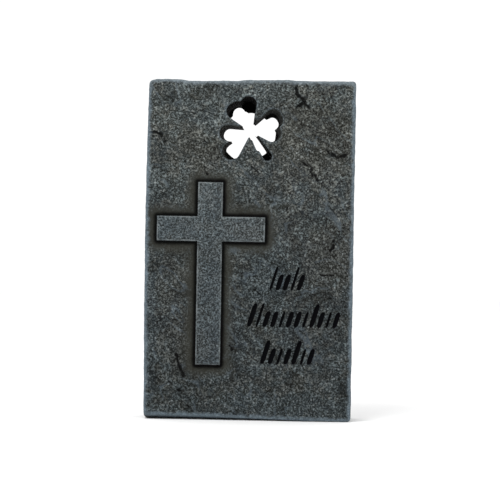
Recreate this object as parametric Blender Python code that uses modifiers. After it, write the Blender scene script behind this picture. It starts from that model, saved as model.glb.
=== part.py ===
"""A cast-stone memorial slab that stands on its own foot: one casting, with a Latin cross in relief, a shamrock
pierced through near the top and rows of shallow slanted strokes beside the cross's stem.

Metres. X runs across the face, Y from front to back and Z up. The origin is under the middle of the slab.
"""

import math

import bmesh
import bpy
from mathutils import Matrix, Vector, noise

# The slab
SLAB_HEIGHT = 0.2015
SLAB_WIDTH = 0.124
SLAB_DEPTH = 0.030
FRONT_ROUND = 0.0024  # worn round of the front edges and the corners
BACK_ROUND = 0.0009  # the edges of the poured back are crisper
ROUND_SEGMENTS = 2
SIDE_DRAFT = 0.0003  # how far the sides and the top come in on their way from the back to the front
LEFT_BULGE = 0.0009  # the left side is this much fuller at half height than at its ends
FOOT_WEAR = 0.0024  # how far the front edge of the foot is worn up at the left end
FOOT_WEAR_DEPTH = 0.008
SKIN_STEP = 0.0048  # spacing of the points that carry the uneven skin

# The uneven skin
SWELL = 0.00045  # broad waves of the face
SWELL_LENGTH = 0.045
FLAKE = 0.00040  # slate-like flakes, drawn out along a slanted grain
FLAKE_LENGTH = 0.013
FLAKE_TURN = math.radians(-50)
FLAKE_STRETCH = 2.4
LUMP = 0.0004  # lumps of the sides and the top
LUMP_LENGTH = 0.011

# The shamrock
SHAMROCK_DOWN = 0.0300  # from the top of the slab to the hub
SHAMROCK_ASIDE = -0.0004
SHAMROCK_SIZE = 0.020
# The rounds of its outline: turn from the right in degrees; then, as shares of the shamrock's size, distance from
# the hub, radius, and how far out the flash at the back leaves the round open
SHAMROCK_ROUNDS = (
    (-9.0, 0.66, 0.26, 0.80),  # right leaf, lower half
    (9.0, 0.66, 0.20, 1.2),  # right leaf, between its halves
    (21.5, 0.765, 0.245, 1.2),  # right leaf, upper half
    (29.5, 0.765, 0.245, 0.62),  # right leaf, upper flank
    (66.0, 0.24, 0.127, 1.2),  # web between the right leaf and the top leaf
    (95.5, 0.755, 0.245, 0.62),  # top leaf, right half
    (111.5, 0.60, 0.20, 1.2),  # top leaf, between its halves
    (122.5, 0.725, 0.245, 0.90),  # top leaf, left half
    (130.5, 0.725, 0.25, 0.76),  # top leaf, left flank
    (189.0, 0.685, 0.245, 1.2),  # left leaf, upper half
    (210.0, 0.56, 0.20, 1.2),  # left leaf, between its halves
    (229.0, 0.855, 0.265, 0.97),  # left leaf, lower half
    (285.0, 0.243, 0.112, 1.2),  # root of the stem
    (297.0, 0.605, 0.123, 1.2),  # middle of the stem
    (303.0, 0.935, 0.14, 0.825),  # end of the stem
)
HUB_RADIUS = 0.0012
HOLE_DRAFT = 0.0018  # how far the outline comes in from the front to the back
FLASH = 0.0006  # how ragged the thin flash is that the casting has left around the hole at the back
FLASH_DEPTH = 0.0016
FLASH_LENGTH = 0.005
HOLE_STEPS = 84

# The cross
CROSS_BELOW = 0.0315  # from the hub of the shamrock down to the top of the cross
CROSS_MARGIN = 0.0072  # between the slab's left side and the end of the arm
CROSS_FOOT = 0.0322  # height of the foot of the cross
CROSS_SPAN = 0.0640
CROSS_BAR = 0.0148
STEM_ASIDE = -0.0005  # the stem stands this far off the middle of the arms
CROSS_HEAD = 0.0202  # from the top of the cross down to its arms
CROSS_RELIEF = 0.0018
CROSS_ROUND = 0.0004
DISH_DEPTH = 0.0006  # the ground is hollowed this much along the foot of the relief
DISH_WIDTH = 0.0065

# The strokes
STROKE_SHORT = 0.0090
STROKE_TALL = 0.0136
STROKE_WIDTH = 0.0026
THIN_SHARE = 0.5  # width of every third stroke, as a share of the others' width
STROKE_PITCH = 0.0046
STROKE_SLANT = math.radians(17)
STROKE_DEPTH = 0.0008
STROKE_FLOOR = 0.6  # width of a stroke's floor, as a share of its width at the face
STROKE_STEPS = 5
ROW_STEP = 0.0218
ROW_LIFT = 0.0014  # height of the lowest row above the foot of the cross
FIELD_GAP = 0.0150  # between the stem of the cross and the longest row
FIELD_MARGIN = 0.0072  # between the longest row and the slab's right side
# From the lowest row up: length and middle as shares of the field beside the cross, and its tall strokes
ROWS = (
    (0.59, 0.44, (0, 4)),
    (1.00, 0.50, (0, 1, 8)),
    (0.395, 0.42, (0, 3)),
)

# How far the top edge lies below the slab's full height: shares of the half width, and of the deepest dip
TOP_DIP = 0.0016
TOP_EDGE = (
    (-1.00, 1.0), (-0.90, 0.45), (-0.68, 0.4), (-0.58, 0.95), (-0.15, 0.65), (-0.03, 0.25), (0.33, 0.0),
    (0.45, 0.3), (1.00, 0.25),
)

CUT_OVERLAP = 0.003
ROOT_DEPTH = 0.004  # how deep the cross is rooted in the slab
STONE_COLOUR = (0.085, 0.094, 0.095, 1.0)
STONE_ROUGHNESS = 0.9

# Places that follow from these sizes
FRONT_Y = -(SLAB_DEPTH - CROSS_RELIEF) / 2
BACK_Y = FRONT_Y + SLAB_DEPTH
SHAMROCK_Z = SLAB_HEIGHT - SHAMROCK_DOWN
CROSS_TOP = SHAMROCK_Z - CROSS_BELOW
CROSS_X = -SLAB_WIDTH / 2 + CROSS_MARGIN + CROSS_SPAN / 2
ARM_TOP = CROSS_TOP - CROSS_HEAD
ARM_BOX = (CROSS_X - CROSS_SPAN / 2, CROSS_X + CROSS_SPAN / 2, ARM_TOP - CROSS_BAR, ARM_TOP)
STEM_X = CROSS_X + STEM_ASIDE
STEM_BOX = (STEM_X - CROSS_BAR / 2, STEM_X + CROSS_BAR / 2, CROSS_FOOT, CROSS_TOP)
FIELD_LEFT = STEM_BOX[1] + FIELD_GAP
FIELD_WIDTH = SLAB_WIDTH / 2 - FIELD_MARGIN - FIELD_LEFT


def clear_scene():
    for old in list(bpy.data.objects):
        bpy.data.objects.remove(old)


def new_collection(name):
    collection = bpy.data.collections.new(name)
    bpy.context.scene.collection.children.link(collection)
    return collection


def stone_material():
    material = bpy.data.materials.new("cast_stone")
    material.use_nodes = True
    shader = material.node_tree.nodes["Principled BSDF"]
    shader.inputs["Base Color"].default_value = STONE_COLOUR
    shader.inputs["Roughness"].default_value = STONE_ROUGHNESS
    return material


def smooth_share(value):
    """0 up to 0, 1 from 1 on, and an S between them."""
    held = min(1.0, max(0.0, value))
    return held * held * (3 - 2 * held)


def read_profile(points, where):
    """The height of a profile of (place, height) points at a place, with soft turns."""
    for (start, first), (end, second) in zip(points, points[1:]):
        if where <= end:
            return first + (second - first) * smooth_share((where - start) / (end - start))
    return points[-1][1]


def outside_box(x, z, box):
    """How far a point of the face lies outside a rectangle (left, right, low, high)."""
    left, right, low, high = box
    return math.hypot(max(left - x, x - right, 0.0), max(low - z, z - high, 0.0))


def face_relief(x, z):
    """How far the ground of the face stands proud of its plane."""
    swell = SWELL * noise.noise(Vector((x / SWELL_LENGTH, z / SWELL_LENGTH, 0.0)))
    grain = Matrix.Rotation(-FLAKE_TURN, 2) @ Vector((x, z)) / FLAKE_LENGTH
    flake = FLAKE * noise.noise(Vector((grain.x / FLAKE_STRETCH, grain.y, 5.0)))
    from_cross = min(outside_box(x, z, ARM_BOX), outside_box(x, z, STEM_BOX))
    return swell + flake - DISH_DEPTH * smooth_share(1 - from_cross / DISH_WIDTH)


def edge_loss(x, y, z):
    """How far the draft and the lumps take a side or the top in at a point."""
    lump = 1 + noise.noise(Vector((x, y, z)) / LUMP_LENGTH)
    return SIDE_DRAFT * (BACK_Y - y) / SLAB_DEPTH + LUMP * lump / 2


def weathered(point):
    """Where a point of the plain block lies on the worn and uneven slab."""
    x, y, z = point
    across = 2 * x / SLAB_WIDTH
    up = z / SLAB_HEIGHT
    bulge = LEFT_BULGE * (2 * up - 1) ** 2 if x < 0 else 0.0
    inward = across**6 * (edge_loss(x, y, z) + bulge)
    drop = up**12 * (edge_loss(x, y, z) + TOP_DIP * read_profile(TOP_EDGE, across))
    to_back = smooth_share((y - FRONT_Y) / FOOT_WEAR_DEPTH)
    lift = (1 - up) ** 12 * (1 - to_back) * FOOT_WEAR * smooth_share((1 - across) / 2)
    proud = face_relief(x, z) * (1 - smooth_share((y - FRONT_Y) / FRONT_ROUND))
    return Vector((x - math.copysign(inward, x), y - proud, z - drop + lift))


def cut_across(bm, axis, places):
    """Cuts the block at planes across an axis; the flat back keeps one face and takes the cuts on its rim."""
    normal = Vector((0.0, 0.0, 0.0))
    normal[axis] = 1.0
    for place in places:
        skin = [face for face in bm.faces if face.normal.y < 0.999]
        bmesh.ops.bisect_plane(
            bm, geom=bm.verts[:] + bm.edges[:] + skin, dist=1e-6, plane_co=normal * place, plane_no=normal
        )


def spaced(start, length):
    """Places inside a length, a SKIN_STEP or so apart."""
    count = max(2, round(length / SKIN_STEP))
    return [start + length * step / count for step in range(1, count)]


def plain_block():
    """The slab as a plain block with rounded edges, as a bmesh."""
    mesh = bpy.data.meshes.new("block")
    bm = bmesh.new()
    bmesh.ops.create_cube(bm, size=1.0)
    bmesh.ops.scale(bm, vec=Vector((SLAB_WIDTH, SLAB_DEPTH, SLAB_HEIGHT)), verts=bm.verts)
    middle = Vector((0.0, (FRONT_Y + BACK_Y) / 2, SLAB_HEIGHT / 2))
    bmesh.ops.translate(bm, vec=middle, verts=bm.verts)
    wear = bm.edges.layers.float.new("bevel_weight_edge")
    for edge in bm.edges:
        at_back = all(vert.co.y > middle.y for vert in edge.verts)
        edge[wear] = BACK_ROUND / FRONT_ROUND if at_back else 1.0
    bm.to_mesh(mesh)
    bm.free()
    block = bpy.data.objects.new("block", mesh)
    bpy.context.scene.collection.objects.link(block)
    rounding = block.modifiers.new("worn edges", "BEVEL")
    rounding.limit_method = "WEIGHT"
    rounding.width = FRONT_ROUND
    rounding.segments = ROUND_SEGMENTS
    bpy.context.view_layer.update()
    rounded = bpy.data.meshes.new_from_object(block.evaluated_get(bpy.context.evaluated_depsgraph_get()))
    bpy.data.objects.remove(block)
    result = bmesh.new()
    result.from_mesh(rounded)
    bmesh.ops.recalc_face_normals(result, faces=result.faces)
    return result


def make_slab(collection, material):
    """The slab with its uneven skin, still without cross, shamrock and strokes."""
    bm = plain_block()
    cut_across(bm, 0, spaced(-SLAB_WIDTH / 2, SLAB_WIDTH))
    cut_across(bm, 2, spaced(0.0, SLAB_HEIGHT))
    cut_across(bm, 1, (FRONT_Y + FOOT_WEAR_DEPTH, (FRONT_Y + FOOT_WEAR_DEPTH + BACK_Y) / 2))
    for vert in bm.verts:
        vert.co = weathered(vert.co)
    bm.normal_update()
    foot = [face for face in bm.faces if all(vert.co.z < 1e-6 for vert in face.verts)]
    bmesh.ops.dissolve_faces(bm, faces=foot)
    mesh = bpy.data.meshes.new("headstone")
    bm.to_mesh(mesh)
    bm.free()
    mesh.materials.append(material)
    slab = bpy.data.objects.new("headstone", mesh)
    collection.objects.link(slab)
    return slab


def add_cutter(name, mesh, collection):
    cutter = bpy.data.objects.new(name, mesh)
    cutter.hide_render = True
    cutter.display_type = "WIRE"
    collection.objects.link(cutter)
    return cutter


def make_cross(collection):
    """The cross as a solid that is rooted in the slab: the stem as a block, with the arms drawn out of it."""
    arm_left, arm_right, arm_low, arm_high = ARM_BOX
    left, right, foot, top = STEM_BOX
    depth = CROSS_RELIEF + ROOT_DEPTH
    bm = bmesh.new()
    bmesh.ops.create_cube(bm, size=1.0)
    bmesh.ops.scale(bm, vec=Vector((right - left, depth, top - foot)), verts=bm.verts)
    middle = Vector(((left + right) / 2, FRONT_Y - CROSS_RELIEF + depth / 2, (foot + top) / 2))
    bmesh.ops.translate(bm, vec=middle, verts=bm.verts)
    for level in (arm_low, arm_high):
        bmesh.ops.bisect_plane(
            bm, geom=bm.verts[:] + bm.edges[:] + bm.faces[:], plane_co=(0.0, 0.0, level), plane_no=(0.0, 0.0, 1.0)
        )
    bm.normal_update()
    between = [face for face in bm.faces if arm_low < face.calc_center_median().z < arm_high]
    for face in [face for face in between if abs(face.normal.x) > 0.9]:
        reach = arm_right - right if face.normal.x > 0 else arm_left - left
        drawn = bmesh.ops.extrude_discrete_faces(bm, faces=[face])["faces"][0]
        bmesh.ops.translate(bm, vec=Vector((reach, 0.0, 0.0)), verts=drawn.verts)
    bmesh.ops.recalc_face_normals(bm, faces=bm.faces)
    mesh = bpy.data.meshes.new("cross")
    bm.to_mesh(mesh)
    bm.free()
    cross = add_cutter("cross_relief", mesh, collection)
    rounding = cross.modifiers.new("worn edges", "BEVEL")
    rounding.limit_method = "ANGLE"
    rounding.width = CROSS_ROUND
    rounding.segments = 1
    return cross


def round_reach(turn, distance, radius):
    """How far the hull of the hub and one round reaches from the hub, at a turn off the round's own direction."""
    side = math.acos((HUB_RADIUS - radius) / distance)
    touch = math.atan2(radius * math.sin(side), distance + radius * math.cos(side))
    off = abs(math.remainder(turn, math.tau))
    if off <= touch:
        return distance * math.cos(off) + math.sqrt(radius**2 - (distance * math.sin(off)) ** 2)
    return HUB_RADIUS / math.cos(side - off) if off < side else HUB_RADIUS


def hole_point(turn, y):
    """The point of the shamrock's wall at a turn about the hub and a depth."""
    draft = HOLE_DRAFT / 2 * (y - FRONT_Y) / SLAB_DEPTH
    at_flash = smooth_share((y - BACK_Y) / FLASH_DEPTH + 1)
    reach = 0.0
    for degrees, distance, radius, still_open in SHAMROCK_ROUNDS:
        reach_out, round_radius = SHAMROCK_SIZE * distance - draft, SHAMROCK_SIZE * radius - draft
        wall = round_reach(turn - math.radians(degrees), reach_out, round_radius)
        closed = max(0.0, wall - SHAMROCK_SIZE * still_open)
        reach = max(reach, wall - closed * at_flash)
    ahead = Vector((math.cos(turn), 0.0, math.sin(turn)))
    ragged = FLASH * (1 + noise.noise(ahead * reach / FLASH_LENGTH)) * at_flash
    return Vector((SHAMROCK_ASIDE, y, SHAMROCK_Z)) + ahead * max(HUB_RADIUS, reach - ragged)


def loft(sections):
    """A closed solid through like sections, as a mesh."""
    bm = bmesh.new()
    rings = [[bm.verts.new(point) for point in section] for section in sections]
    for near, far in zip(rings, rings[1:]):
        for here in range(len(near)):
            bm.faces.new((near[here - 1], near[here], far[here], far[here - 1]))
    bm.faces.new(rings[0])
    bm.faces.new(rings[-1])
    bmesh.ops.recalc_face_normals(bm, faces=bm.faces)
    return bm


def make_shamrock(collection):
    """The cutter of the pierced shamrock, narrower towards the back and ragged at the flash."""
    depths = (FRONT_Y - CUT_OVERLAP, BACK_Y - FLASH_DEPTH, BACK_Y - FLASH_DEPTH / 3, BACK_Y + CUT_OVERLAP)
    turns = [math.tau * step / HOLE_STEPS for step in range(HOLE_STEPS)]
    bm = loft([[hole_point(turn, y) for turn in turns] for y in depths])
    mesh = bpy.data.meshes.new("shamrock")
    bm.to_mesh(mesh)
    bm.free()
    return add_cutter("shamrock_cutter", mesh, collection)


def stroke_places():
    """Foot, height and width of every stroke."""
    for row, (length_share, middle_share, tall) in enumerate(ROWS):
        length = FIELD_WIDTH * length_share
        count = max(2, round(length / STROKE_PITCH))
        start = FIELD_LEFT + FIELD_WIDTH * middle_share - length / 2
        foot_z = CROSS_FOOT + ROW_LIFT + ROW_STEP * row
        for step in range(count):
            width = STROKE_WIDTH * (THIN_SHARE if (step + row) % 3 == 2 else 1.0)
            height = STROKE_TALL if step in tall else STROKE_SHORT
            run = length - STROKE_WIDTH - STROKE_SHORT * math.tan(STROKE_SLANT)
            yield start + STROKE_WIDTH / 2 + run * step / (count - 1), foot_z, height, width


def stroke_section(foot_x, foot_z, height, width, along):
    """Four corners of a stroke's groove at a share of the way up: its floor follows the ground."""
    z = foot_z + height * along
    x = foot_x + height * along * math.tan(STROKE_SLANT)
    half = width / 2 * (0.55 + 0.45 * math.sin(math.pi * along))
    floor = half * STROKE_FLOOR
    ground = FRONT_Y - face_relief(x, z)
    top = ground - CUT_OVERLAP
    wide = half + (half - floor) * CUT_OVERLAP / STROKE_DEPTH
    return [
        Vector((x - wide, top, z)), Vector((x + wide, top, z)),
        Vector((x + floor, ground + STROKE_DEPTH, z)), Vector((x - floor, ground + STROKE_DEPTH, z)),
    ]


def make_strokes(collection):
    """One cutter with all the strokes."""
    mesh = bpy.data.meshes.new("strokes")
    whole = bmesh.new()
    for place in stroke_places():
        shares = [step / STROKE_STEPS for step in range(STROKE_STEPS + 1)]
        bm = loft([stroke_section(*place, along) for along in shares])
        bm.to_mesh(mesh)
        bm.free()
        whole.from_mesh(mesh)
    whole.to_mesh(mesh)
    whole.free()
    return add_cutter("stroke_cutter", mesh, collection)


def apply_cutter(target, cutter, operation):
    modifier = target.modifiers.new(cutter.name, "BOOLEAN")
    modifier.operation = operation
    modifier.solver = "EXACT"
    modifier.object = cutter


def main():
    clear_scene()
    stone = new_collection("headstone")
    cutters = new_collection("cutters")
    slab = make_slab(stone, stone_material())
    apply_cutter(slab, make_cross(cutters), "UNION")
    apply_cutter(slab, make_shamrock(cutters), "DIFFERENCE")
    apply_cutter(slab, make_strokes(cutters), "DIFFERENCE")


main()
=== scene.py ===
import math

import bmesh
import bpy
import numpy as np
from mathutils import Matrix, Vector, geometry, noise


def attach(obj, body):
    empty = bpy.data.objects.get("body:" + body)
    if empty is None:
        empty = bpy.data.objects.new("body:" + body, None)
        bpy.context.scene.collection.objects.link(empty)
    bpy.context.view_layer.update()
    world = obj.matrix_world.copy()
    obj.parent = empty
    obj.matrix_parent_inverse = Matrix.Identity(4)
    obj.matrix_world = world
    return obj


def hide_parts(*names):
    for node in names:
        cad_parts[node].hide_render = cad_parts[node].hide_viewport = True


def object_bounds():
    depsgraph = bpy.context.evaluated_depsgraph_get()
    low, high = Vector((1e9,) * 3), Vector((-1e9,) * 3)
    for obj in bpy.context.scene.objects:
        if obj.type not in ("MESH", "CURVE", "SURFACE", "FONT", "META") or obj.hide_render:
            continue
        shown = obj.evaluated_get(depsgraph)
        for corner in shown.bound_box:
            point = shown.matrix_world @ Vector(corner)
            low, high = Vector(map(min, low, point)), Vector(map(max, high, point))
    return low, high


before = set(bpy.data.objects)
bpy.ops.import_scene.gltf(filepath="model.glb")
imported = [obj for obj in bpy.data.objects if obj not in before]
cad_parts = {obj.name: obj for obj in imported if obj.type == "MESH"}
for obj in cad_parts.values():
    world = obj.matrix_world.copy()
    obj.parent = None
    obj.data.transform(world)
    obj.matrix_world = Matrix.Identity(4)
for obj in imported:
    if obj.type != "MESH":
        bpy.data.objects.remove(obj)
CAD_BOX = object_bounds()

bl_info = {
    "name": "Cast stone memorial slab",
    "version": (1, 0, 0),
    "blender": (4, 5, 0),
    "location": "3D View > Sidebar > Memorial",
    "description": "Dresses the memorial slab with its worn cast-stone surface and sets up the studio",
    "category": "Object",
}

# The slab's sizes, in metres, as in its solid
SLAB_HEIGHT = 0.2015
SLAB_WIDTH = 0.124
SLAB_DEPTH = 0.030
BACK_ROUND = 0.0009
SIDE_DRAFT = 0.0003
LEFT_BULGE = 0.0009
FOOT_WEAR = 0.0024
FOOT_WEAR_DEPTH = 0.008
SWELL = 0.00045
SWELL_LENGTH = 0.045
FLAKE = 0.00040
FLAKE_LENGTH = 0.013
FLAKE_TURN = math.radians(-50)
FLAKE_STRETCH = 2.4
LUMP = 0.0004
LUMP_LENGTH = 0.011
TOP_DIP = 0.0016

# The top edge from left to right: place across, from -1 to 1, and drop as a share of its dip
TOP_EDGE = (
    (-1.00, 1.0), (-0.90, 0.45), (-0.68, 0.4), (-0.58, 0.95), (-0.15, 0.65), (-0.03, 0.25), (0.33, 0.0),
    (0.45, 0.3), (1.00, 0.25),
)

SHAMROCK_X = -0.0004
SHAMROCK_Z = 0.1715
SHAMROCK_SIZE = 0.020

# The shamrock's rounds: turn in degrees, then distance and radius as shares of its size, and how far out the
# flash leaves it open at the back
SHAMROCK_ROUNDS = (
    (-9.0, 0.66, 0.26, 0.80), (9.0, 0.66, 0.20, 1.2), (21.5, 0.765, 0.245, 1.2), (29.5, 0.765, 0.245, 0.62),
    (66.0, 0.24, 0.127, 1.2), (95.5, 0.755, 0.245, 0.62), (111.5, 0.60, 0.20, 1.2),
    (122.5, 0.725, 0.245, 0.90), (130.5, 0.725, 0.25, 0.76), (189.0, 0.685, 0.245, 1.2),
    (210.0, 0.56, 0.20, 1.2), (229.0, 0.855, 0.265, 0.97), (285.0, 0.243, 0.112, 1.2),
    (297.0, 0.605, 0.123, 1.2), (303.0, 0.935, 0.14, 0.825),
)

HUB_RADIUS = 0.0012
HOLE_DRAFT = 0.0018
FLASH = 0.0006
FLASH_DEPTH = 0.0016
FLASH_LENGTH = 0.005
CROSS_RELIEF = 0.0018
CROSS_X = -0.0228
STEM_X = -0.0233
CROSS_SPAN = 0.0640
CROSS_BAR = 0.0148
CROSS_FOOT = 0.0322
CROSS_TOP = 0.1400
CROSS_HEAD = 0.0202
DISH_DEPTH = 0.0006
DISH_WIDTH = 0.0065
STROKE_SHORT = 0.0090
STROKE_TALL = 0.0136
STROKE_WIDTH = 0.0026
THIN_SHARE = 0.5
STROKE_PITCH = 0.0046
STROKE_SLANT = math.radians(17)
STROKE_DEPTH = 0.0008
ROW_STEP = 0.0218
ROW_LIFT = 0.0014
FIELD_GAP = 0.0150
FIELD_MARGIN = 0.0072

# The rows from the lowest up: length and middle as shares of the field, and which strokes are tall
ROWS = ((0.59, 0.44, (0, 4)), (1.00, 0.50, (0, 1, 8)), (0.395, 0.42, (0, 3)))

FRONT_Y = -(SLAB_DEPTH - CROSS_RELIEF) / 2
BACK_Y = FRONT_Y + SLAB_DEPTH
ARM_TOP = CROSS_TOP - CROSS_HEAD
ARM_BOX = (CROSS_X - CROSS_SPAN / 2, CROSS_X + CROSS_SPAN / 2, ARM_TOP - CROSS_BAR, ARM_TOP)
STEM_BOX = (STEM_X - CROSS_BAR / 2, STEM_X + CROSS_BAR / 2, CROSS_FOOT, CROSS_TOP)
FIELD_LEFT = STEM_BOX[1] + FIELD_GAP
FIELD_WIDTH = SLAB_WIDTH / 2 - FIELD_MARGIN - FIELD_LEFT

# Cracks and the edges of flakes on the face: points across and up, depth and width, all in millimetres
CRACKS = (
    (((25.1, 200.5), (26.6, 193.0), (31.1, 188.5), (27.1, 185.5)), 0.9, 1.4),
    (((31.1, 188.5), (34.6, 184.0)), 0.5, 0.9),
    (((-35.9, 181.5), (-31.9, 180.0)), 0.4, 0.6),
    (((-61.4, 169.0), (-53.9, 168.5), (-50.9, 163.5)), 0.6, 1.0),
    (((-27.9, 165.0), (-24.4, 162.5)), 0.4, 0.6),
    (((-27.4, 149.5), (-26.9, 147.0), (-24.9, 144.5)), 0.45, 0.6),
    (((0.6, 149.5), (4.6, 147.0)), 0.45, 0.7),
    (((29.6, 152.5), (35.6, 149.5), (35.6, 146.5), (39.6, 142.0)), 0.7, 1.2),
    (((44.1, 160.5), (51.6, 155.0), (56.1, 157.5)), 0.5, 1.2),
    (((22.1, 127.0), (21.6, 124.5)), 0.4, 0.8),
    (((45.6, 123.0), (49.1, 123.0)), 0.45, 0.8),
    (((49.6, 107.0), (49.6, 102.5), (47.6, 100.5)), 0.7, 0.8),
    (((42.1, 86.5), (46.6, 85.5), (50.1, 86.5)), 0.5, 0.7),
    (((40.1, 72.5), (46.1, 73.5), (51.6, 72.5)), 0.4, 0.6),
    (((3.6, 77.5), (8.1, 73.5)), 0.45, 0.7),
    (((-38.9, 71.5), (-37.4, 68.0)), 0.4, 0.6),
    (((-10.9, 67.5), (-7.9, 66.0)), 0.4, 0.6),
    (((-10.4, 44.0), (-8.9, 41.5)), 0.5, 0.7),
    (((-42.4, 38.5), (-39.4, 30.0), (-36.4, 24.5)), 0.6, 1.0),
    (((-45.9, 22.0), (-39.4, 16.0)), 0.4, 0.7),
    (((-53.9, 24.5), (-52.4, 22.0)), 0.4, 0.6),
    (((-35.4, 8.0), (-31.9, 4.5)), 0.4, 0.6),
)

# Warm and cool toning of the face: middle across and up, half width and half height in millimetres, and how
# warm, from -1 for blue-grey to 1 for brown
TINTS = (
    (12.0, 88.0, 15.0, 18.0, -0.9), (-59.0, 45.0, 5.0, 45.0, -0.8), (-57.0, 125.0, 6.0, 20.0, -0.6),
    (25.0, 8.0, 38.0, 8.0, -0.8), (-20.0, 190.0, 40.0, 14.0, -0.5), (-12.0, 55.0, 9.0, 30.0, -0.4),
    (47.0, 95.0, 14.0, 22.0, 0.9), (35.0, 165.0, 24.0, 26.0, 0.6), (-36.0, 45.0, 12.0, 16.0, 0.7),
    (22.0, 24.0, 14.0, 8.0, 0.3), (3.0, 109.0, 5.0, 5.0, 1.6), (-52.0, 113.0, 5.0, 8.0, -1.2),
    (-20.0, 20.0, 16.0, 8.0, 0.2), (-35.0, 160.0, 18.0, 14.0, 0.4), (-42.0, 80.0, 12.0, 24.0, 0.5),
)

# Turns of the shamrock where its wall is painted black with shade from the lip on, with half widths, in
# degrees, and how fast the painted shade sets in elsewhere
SHADED_HOLE_TURNS = ((112.0, 36.0), (303.0, 7.0))
HOLE_SHADE_LEAST = 0.10

# The visible casting's own edges. The corners stay rounder than the front edge: drawn in by it, their arcs
# would otherwise have no length and the triangulation wouldn't end.
FACE_ROUND = 0.0016
CORNER_RADIUS = FACE_ROUND + 0.0008

# How the cross climbs out of the ground: distance in from its outline, and share of its relief
CROSS_CLIMB = ((0.00002, 0.0), (0.0001, 0.72), (0.0003, 0.93), (0.0007, 1.0))

# Finest relief of the face
GRIT_LENGTH = 0.0021
PIT_LENGTH = 0.0042
STROKE_WALL = 0.00045
RIM_WEAR = 0.0004
RIM_WEAR_WIDTH = 0.0009

# Wave lengths of the wear along the edges
CHIP_LENGTH = 0.0038
CHIP_GRAIN = 0.0016

# The camera's place in front of the slab
EYE_X = 0.0005
EYE_Z = 0.1004

# Air holes of the poured back
AIR_HOLES = 70
AIR_HOLE_RADIUS = 0.0020
AIR_HOLE_FROM_RIM = 0.003
AIR_HOLE_FROM_OPENING = 0.004
BACK_PIT = 0.00012

# Spacing of the mesh
FACE_STEP = 0.00070
RIM_STEP = 0.00090
SIDE_STEP = 0.0013
BACK_STEP = 0.0026
CROSS_STEP = 0.0006
HOLE_STEPS = 300
FINE_TURNS = 2400
SEED = 7
MM = 1000.0

# Outlines of the cross in the mesh, and how far the loose points keep from outlines and edges
CROSS_INSETS = (0.0, 0.0001, 0.00035, 0.0007)
LINE_CLEARANCE = 0.00028
EDGE_CLEARANCE = 0.0004
BACK_EDGE_CLEARANCE = 0.0009
BACK_OPENING_CLEARANCE = 0.0007

# Depths of the shamrock's wall, close together at its lip and at the flash, and how far the face's unevenness
# runs down it
HOLE_DEPTHS = (
    0.0005, 0.0014, 0.003, 0.006, 0.0095, 0.013, 0.0165, 0.020, 0.0235, 0.0265, 0.0284, 0.0288, 0.0292,
    0.0296,
)
LIP_BLEND = 0.003

# How far off the distances are told, in metres
CROSS_REACH = 0.030
STROKE_REACH = 0.004
EDGE_REACH = 0.020
RIM_REACH = 0.010
CRACK_REACH = 0.006
SPOT_REACH = 0.002
MIDDLE_REACH = 0.001

# How far in from the front edge the face is worn, and how much farther from it the back counts as being
EDGE_WEAR_WIDTH = 0.0035
BACK_EDGE_GAP = 0.002

# What the masks tell of a point where nothing else is given
PLAIN_MASKS = {
    "cross_gap": CROSS_REACH, "stroke_gap": STROKE_REACH, "crack": 0.0, "edge_gap": EDGE_REACH,
    "rim_gap": RIM_REACH, "hole_depth": 0.0, "soot": 0.0, "tint": -0.3, "ledges": 0.0,
}

# Specular level of the dull finish, and the heights between which the painted shade towards the foot, the
# painted light on the cross and the painted highlight on the top edge change
SHINE = 0.05
PAINTED_FOOT_SHADE_HEIGHTS = (0.185, 0.075)
PAINTED_CROSS_LIGHT_HEIGHTS = (0.080, 0.145)
TOP_HIGHLIGHT_HEIGHTS = (0.192, 0.199)


def smooth_share(value):
    """0 up to 0, 1 from 1 on, and an S between them; takes a number or an array."""
    held = np.clip(value, 0.0, 1.0)
    return held * held * (3 - 2 * held)


def noise_at(points, length, shift=0.0):
    """Smooth noise at (n, 3) points, from about -1 to 1, for a wave length in metres."""
    scaled = points / length + shift
    return np.array([noise.noise(Vector(point)) for point in scaled])


def fractal_at(points, length, octaves, shift=0.0):
    """Sum of octaves of noise, each half as long and half as high as the last."""
    total = np.zeros(len(points))
    for octave in range(octaves):
        total += noise_at(points, length / 2**octave, shift + 7.3 * octave) / 2**octave
    return total


def segment_distance(points, start, end):
    """Distance of (n, 2) points to a segment."""
    run = end - start
    along = np.clip(((points - start) @ run) / max(run @ run, 1e-12), 0.0, 1.0)
    return np.hypot(*(points - start - along[:, None] * run).T)


def loop_distance(points, loop, reach):
    """Signed distance of (n, 2) points to a closed loop, negative inside, and held at reach outside."""
    result = np.full(len(points), reach)
    near = np.all((points > loop.min(axis=0) - reach) & (points < loop.max(axis=0) + reach), axis=1)
    close = points[near]
    distance = np.full(len(close), reach)
    inside = np.zeros(len(close), bool)
    for start, end in zip(loop, np.roll(loop, -1, axis=0)):
        distance = np.minimum(distance, segment_distance(close, start, end))
        crosses = (start[1] > close[:, 1]) != (end[1] > close[:, 1])
        rise = np.where(abs(end[1] - start[1]) < 1e-12, 1e-12, end[1] - start[1])
        at = start[0] + (close[:, 1] - start[1]) * (end[0] - start[0]) / rise
        inside ^= crosses & (close[:, 0] < at)
    result[near] = np.where(inside, -distance, distance)
    return result


def cross_loop(inset):
    """The cross's outline as 12 corners, drawn in by an inset."""
    arm_left, arm_right, arm_low, arm_high = ARM_BOX
    left, right, foot, top = STEM_BOX
    left, right, foot, top = left + inset, right - inset, foot + inset, top - inset
    arm_left, arm_right = arm_left + inset, arm_right - inset
    arm_low, arm_high = arm_low + inset, arm_high - inset
    return np.array((
        (left, foot), (right, foot), (right, arm_low), (arm_right, arm_low), (arm_right, arm_high),
        (right, arm_high), (right, top), (left, top), (left, arm_high), (arm_left, arm_high),
        (arm_left, arm_low), (left, arm_low),
    ))


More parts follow.
